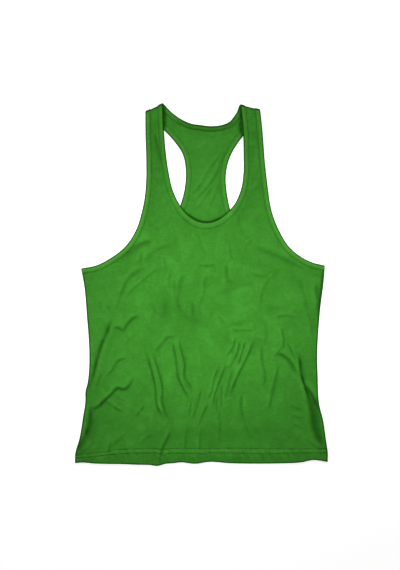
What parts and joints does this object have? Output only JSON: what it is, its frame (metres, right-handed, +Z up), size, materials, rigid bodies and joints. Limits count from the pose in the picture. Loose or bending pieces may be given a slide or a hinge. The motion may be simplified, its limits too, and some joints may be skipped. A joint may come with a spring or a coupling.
{
  "type": "racerback gym tank top, laid flat",
  "caption": "Racerback gym tank top of jersey laid flat on its back, with a deep scooped neck, bound neck and armholes and a turned-up hem.",
  "frame": {"origin": "middle of the laid garment's box, on the surface that it lies on", "axes": "+Y from the hem to the neck, +X to the right as seen from above with the front up, +Z up through the layers"},
  "size_m": [0.5039, 0.7232, 0.0096],
  "materials": {
    "jersey": "green cotton jersey, matt, fine vertical wales",
    "binding": "green cotton jersey folded over the raw edges, matt"
  },
  "bodies": {
    "root": {"front_panel": "jersey", "back_panel": "jersey", "neck_binding": "binding", "armhole_binding_left": "binding", "armhole_binding_right": "binding"}
  },
  "joints": []
}
